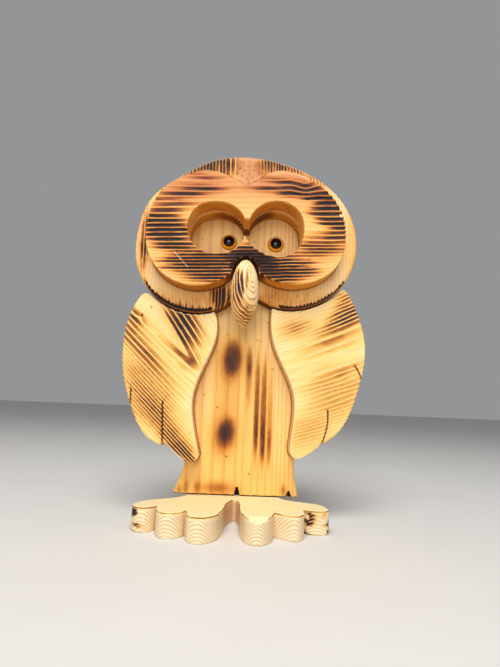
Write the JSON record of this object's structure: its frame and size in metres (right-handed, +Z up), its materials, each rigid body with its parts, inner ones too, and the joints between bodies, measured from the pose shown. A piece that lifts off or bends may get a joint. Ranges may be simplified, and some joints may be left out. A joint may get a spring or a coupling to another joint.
{
  "type": "wooden owl figurine",
  "caption": "Free-standing owl figurine sawn from stacked pine boards, flamed and brushed, with domed glass eyes, a carved beak and a toed foot board.",
  "frame": {"origin": "centre of the bounding box on the floor plane, under the owl", "axes": "+Z up; the owl faces -Y; +X is the owl's left-hand side as seen from the front (viewer's right)"},
  "size_m": [0.2091, 0.1023, 0.3202],
  "materials": {
    "pale_pine": "planed pale pine, oiled",
    "body_pine": "pine, lightly scorched, oiled",
    "flamed_pine": "flamed and wire-brushed pine, oiled",
    "flamed_face_pine": "deeply flamed and wire-brushed pine",
    "wing_pine": "flamed pine, brushed and oiled",
    "beak_pine": "carved pine, brushed growth rings",
    "amber_glass": "amber glass, polished",
    "black_glass": "black glass, polished",
    "pin_wire": "drawn wire",
    "screw_zinc": "zinc plated",
    "dowel_beech": "plain beech dowel"
  },
  "bodies": {
    "root": {"base_feet": "pale_pine", "body_board": "body_pine", "head_board": "flamed_pine", "face_board": "flamed_face_pine", "left_wing": "wing_pine", "right_wing": "wing_pine", "beak": "beak_pine", "left_eye_iris": "amber_glass", "left_eye_pupil": "black_glass", "left_eye_pin": "pin_wire", "right_eye_iris": "amber_glass", "right_eye_pupil": "black_glass", "right_eye_pin": "pin_wire", "base_screws": "screw_zinc", "head_screws": "screw_zinc", "wing_screws": "screw_zinc", "face_dowels": "dowel_beech", "beak_dowel": "dowel_beech"}
  },
  "joints": []
}
